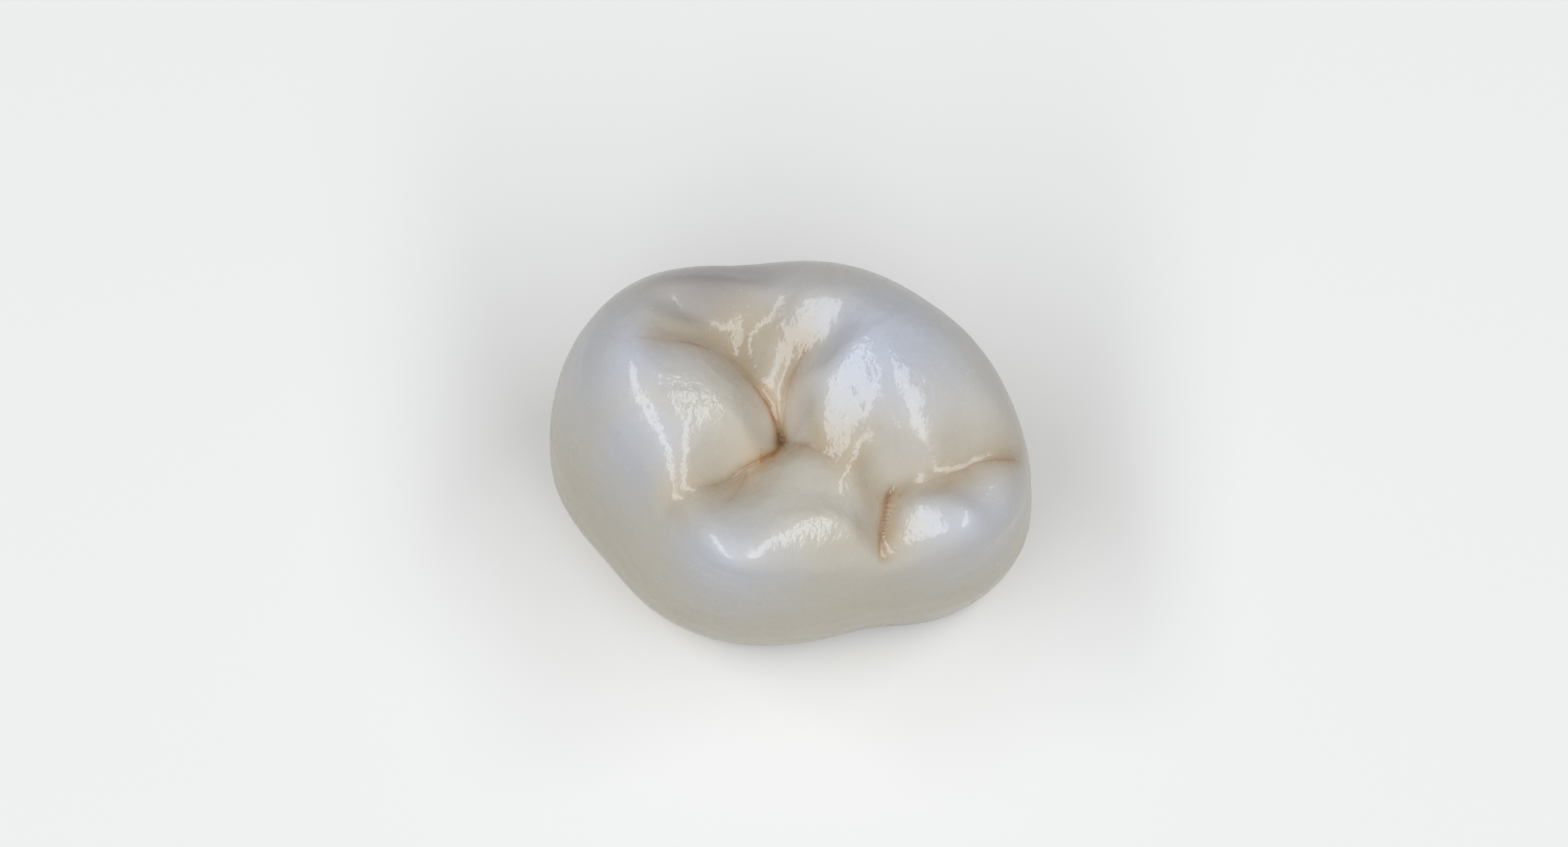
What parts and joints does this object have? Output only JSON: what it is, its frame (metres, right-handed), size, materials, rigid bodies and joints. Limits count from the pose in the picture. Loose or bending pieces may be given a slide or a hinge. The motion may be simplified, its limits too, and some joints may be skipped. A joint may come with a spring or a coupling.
{
  "type": "molar dental crown",
  "caption": "One-piece glazed ceramic crown for an upper right molar, with a cusped biting face and a hollow underside that seats on a prepared tooth.",
  "frame": {"origin": "under the middle of the crown's box, at the level of the margin line it stands on", "axes": "+X towards the tongue side, +Y towards the front of the mouth, +Z towards the biting face"},
  "size_m": [0.011, 0.0096, 0.008],
  "materials": {
    "glazed_ceramic": "glazed ivory ceramic"
  },
  "bodies": {
    "root": {"crown": "glazed_ceramic"}
  },
  "joints": []
}
